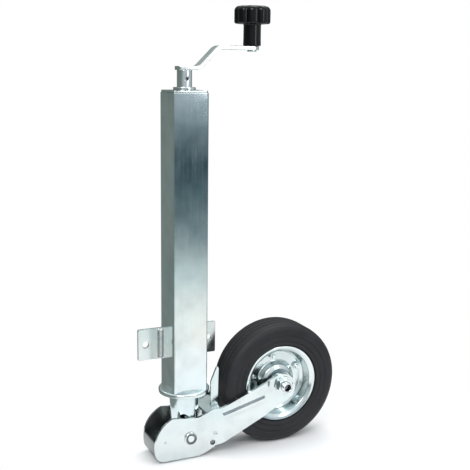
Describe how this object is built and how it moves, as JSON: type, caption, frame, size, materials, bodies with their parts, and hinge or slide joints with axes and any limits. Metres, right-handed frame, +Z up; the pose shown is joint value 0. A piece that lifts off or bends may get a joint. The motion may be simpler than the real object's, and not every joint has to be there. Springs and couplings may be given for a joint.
{
  "type": "automatic folding jockey wheel",
  "caption": "Trailer drawbar jack: square tube with two-hole mounting plate, top crank with lobed knob, swivelling inner tube and folding fork with a rubber-tyred wheel.",
  "frame": {"origin": "midway between the two mounting holes, on the back face of the mounting plate", "axes": "+Z up along the outer tube, +Y out of the plate's back face towards the drawbar, +X towards the wheel"},
  "size_m": [0.3976, 0.1125, 0.8505],
  "materials": {
    "zinc_tube": "bright zinc plated drawn tube",
    "zinc_pressing": "bright zinc plated pressed sheet",
    "zinc_fastener": "zinc plated fasteners",
    "weld_steel": "plated weld bead",
    "dark_steel": "oiled steel",
    "bearing_steel": "ground bearing steel",
    "bronze": "turned bronze",
    "guide_plastic": "moulded nylon",
    "knob_plastic": "gloss moulded plastic",
    "tyre_rubber": "moulded rubber with grooved tread"
  },
  "bodies": {
    "housing": {"outer_tube": "zinc_tube", "top_cap": "zinc_pressing", "cap_bush": "bronze", "mounting_plate": "zinc_pressing", "plate_welds": "weld_steel", "guide_collar": "zinc_pressing", "guide_bush": "guide_plastic", "thrust_race_upper": "bearing_steel"},
    "crank": {"crank_boss": "zinc_fastener", "crank_arm": "zinc_pressing", "drive_pin": "dark_steel", "spindle": "dark_steel", "spindle_collar": "zinc_fastener", "collar_pin": "dark_steel", "thrust_race_lower": "bearing_steel", "knob_stud": "zinc_fastener", "knob_retainer": "zinc_fastener"},
    "ball_ring": {"ball_cage": "bronze", "thrust_balls": "bearing_steel"},
    "hand_knob": {"knob": "knob_plastic", "knob_cap": "knob_plastic"},
    "slider": {"spindle_nut": "bronze", "slide_block": "guide_plastic", "swivel_washer": "bronze"},
    "leg": {"inner_tube": "zinc_tube", "tube_end_ring": "zinc_fastener", "pivot_bush": "zinc_fastener"},
    "fork": {"fork_arm_front": "zinc_pressing", "fork_arm_rear": "zinc_pressing", "nose_web": "zinc_pressing", "top_web": "zinc_pressing", "fold_lug": "zinc_pressing", "pivot_pin": "zinc_fastener", "pivot_clip": "dark_steel", "axle_bolt": "zinc_fastener", "axle_nut": "zinc_fastener", "axle_washers": "zinc_fastener", "axle_spacers": "zinc_fastener"},
    "wheel": {"tyre": "tyre_rubber", "rim_front": "zinc_pressing", "rim_rear": "zinc_pressing", "rim_bolts": "zinc_fastener", "rim_nuts": "zinc_fastener", "hub_tube": "zinc_fastener", "hub_bushes": "guide_plastic"}
  },
  "joints": [
    {"name": "crank_turn", "type": "hinge", "parent": "housing", "child": "crank", "pos_m": [0, -0.041, 0.4875], "axis": [0, 0, -1], "range_deg": [0, 14400]},
    {"name": "ball_ring_turn", "type": "hinge", "parent": "housing", "child": "ball_ring", "pos_m": [0, -0.041, 0.464], "axis": [0, 0, -1], "range_deg": [0, 7200]},
    {"name": "leg_slide", "type": "slide", "parent": "housing", "child": "slider", "axis": [0, 0, -1], "range_m": [0, 0.24]},
    {"name": "leg_swivel", "type": "hinge", "parent": "slider", "child": "leg", "pos_m": [0, -0.041, 0.267], "axis": [0, 0, 1], "continuous": true},
    {"name": "fork_fold", "type": "hinge", "parent": "leg", "child": "fork", "pos_m": [0, -0.041, -0.173], "axis": [0, 1, 0], "range_deg": [0, 64]},
    {"name": "wheel_spin", "type": "hinge", "parent": "fork", "child": "wheel", "pos_m": [0.1956, -0.041, -0.0927], "axis": [0, 1, 0], "continuous": true},
    {"name": "knob_spin", "type": "hinge", "parent": "crank", "child": "hand_knob", "pos_m": [0.1335, -0.041, 0.563], "axis": [0, 0, 1], "continuous": true}
  ],
  "couplings": [
    {"joint": "ball_ring_turn", "follows": "crank_turn", "ratio": 0.5},
    {"joint": "leg_slide", "follows": "crank_turn", "m_per_rad": 0.00095493}
  ]
}
